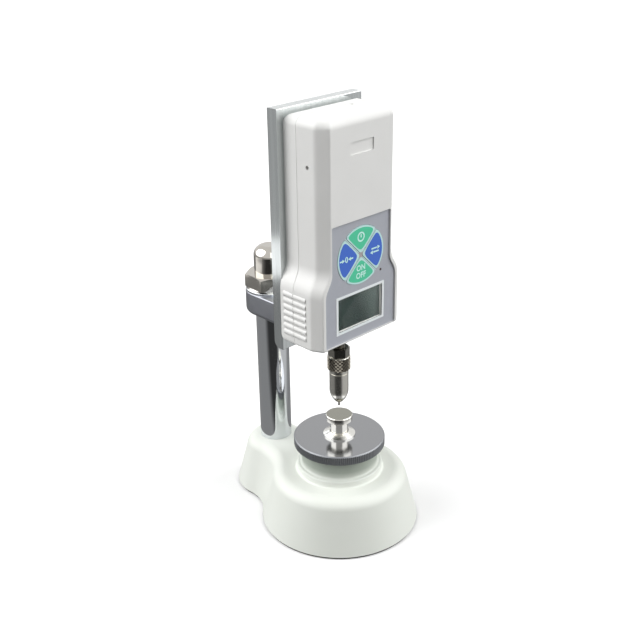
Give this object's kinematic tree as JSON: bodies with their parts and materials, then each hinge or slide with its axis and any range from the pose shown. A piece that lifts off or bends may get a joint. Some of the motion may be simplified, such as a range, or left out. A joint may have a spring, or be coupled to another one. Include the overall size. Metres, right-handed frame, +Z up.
{
  "type": "grain hardness meter",
  "caption": "Bench grain hardness meter: a digital force gauge on a column over a cast pear-shaped base, with a knurled handwheel that raises a small anvil to a plunger",
  "frame": {"origin": "centre of the spindle's axis on the underside of the sole, where the base rests", "axes": "+Z up along the spindle, the anvil and the plunger; the gauge's face looks along -Y and the column stands on +Y; +X is to the right of a user who faces the display"},
  "size_m": [0.112, 0.153, 0.2995],
  "materials": {
    "white_enamel": "glossy baked white enamel on a casting",
    "sole_rubber": "matt black rubber sheet",
    "chrome_plate": "bright chrome plating",
    "grey_casting": "satin grey painted steel",
    "turned_steel": "turned and polished steel",
    "fastener_steel": "bright zinc-plated steel",
    "bronze": "bearing bronze",
    "case_abs": "fine-grained off-white ABS",
    "panel_film": "satin grey-blue polycarbonate film",
    "key_green": "satin green key caps with a pale border",
    "key_blue": "satin blue key caps with a pale border",
    "frame_white": "white display frame",
    "display_glass": "clear window over a dark grey-green display",
    "display_cell": "dark grey-green display cell",
    "led_dark": "unlit lamp lens",
    "board_green": "green glass-epoxy board",
    "black_plastic": "black moulded plastic",
    "seal_rubber": "soft black rubber",
    "cell_aluminium": "milled aluminium",
    "battery_sleeve": "green shrink sleeve"
  },
  "bodies": {
    "stand": {"base_casting": "white_enamel", "sole_mat": "sole_rubber", "column": "chrome_plate", "acorn_nut": "chrome_plate", "nut_washer": "chrome_plate", "mount_plate": "chrome_plate", "bracket_arm": "grey_casting", "plunger": "turned_steel", "lock_nut": "turned_steel", "load_rod": "turned_steel", "key_pin": "turned_steel", "column_bolt": "fastener_steel", "foot_washer": "fastener_steel", "gauge_screws": "fastener_steel", "arm_screws": "fastener_steel", "case_screws": "fastener_steel", "cell_screw": "fastener_steel", "board_screws": "fastener_steel", "cell_bracket": "fastener_steel", "bearing_bush": "bronze", "thrust_washer": "bronze", "front_cover": "case_abs", "rear_cover": "case_abs", "panel_overlay": "panel_film", "lcd_frame": "frame_white", "lcd_window": "display_glass", "lcd_module": "display_cell", "status_led": "led_dark", "circuit_board": "board_green", "key_switches": "black_plastic", "charging_jack": "black_plastic", "rod_seal": "seal_rubber", "load_cell": "cell_aluminium", "battery_pack": "battery_sleeve"},
    "wheel": {"handwheel": "turned_steel", "lead_nut": "turned_steel", "retaining_ring": "fastener_steel"},
    "spindle": {"spindle_screw": "turned_steel", "anvil": "turned_steel"},
    "key_top_body": {"key_top": "key_green"},
    "key_left_body": {"key_left": "key_blue"},
    "key_bottom_body": {"key_bottom": "key_green"},
    "key_right_body": {"key_right": "key_blue"}
  },
  "joints": [
    {"name": "wheel_turn", "type": "hinge", "parent": "stand", "child": "wheel", "pos_m": [0, 0, 0.0594], "axis": [0, 0, -1], "range_deg": [-900, 990]},
    {"name": "spindle_lift", "type": "slide", "parent": "stand", "child": "spindle", "axis": [0, 0, 1], "range_m": [-0.005, 0.0055]},
    {"name": "key_top_press", "type": "slide", "parent": "stand", "child": "key_top_body", "axis": [0, 1, 0], "range_m": [0, 0.0004], "stiffness_N_per_m": 2500},
    {"name": "key_left_press", "type": "slide", "parent": "stand", "child": "key_left_body", "axis": [0, 1, 0], "range_m": [0, 0.0004], "stiffness_N_per_m": 2500},
    {"name": "key_bottom_press", "type": "slide", "parent": "stand", "child": "key_bottom_body", "axis": [0, 1, 0], "range_m": [0, 0.0004], "stiffness_N_per_m": 2500},
    {"name": "key_right_press", "type": "slide", "parent": "stand", "child": "key_right_body", "axis": [0, 1, 0], "range_m": [0, 0.0004], "stiffness_N_per_m": 2500}
  ],
  "couplings": [
    {"joint": "spindle_lift", "follows": "wheel_turn", "m_per_rad": 0.0003183}
  ]
}
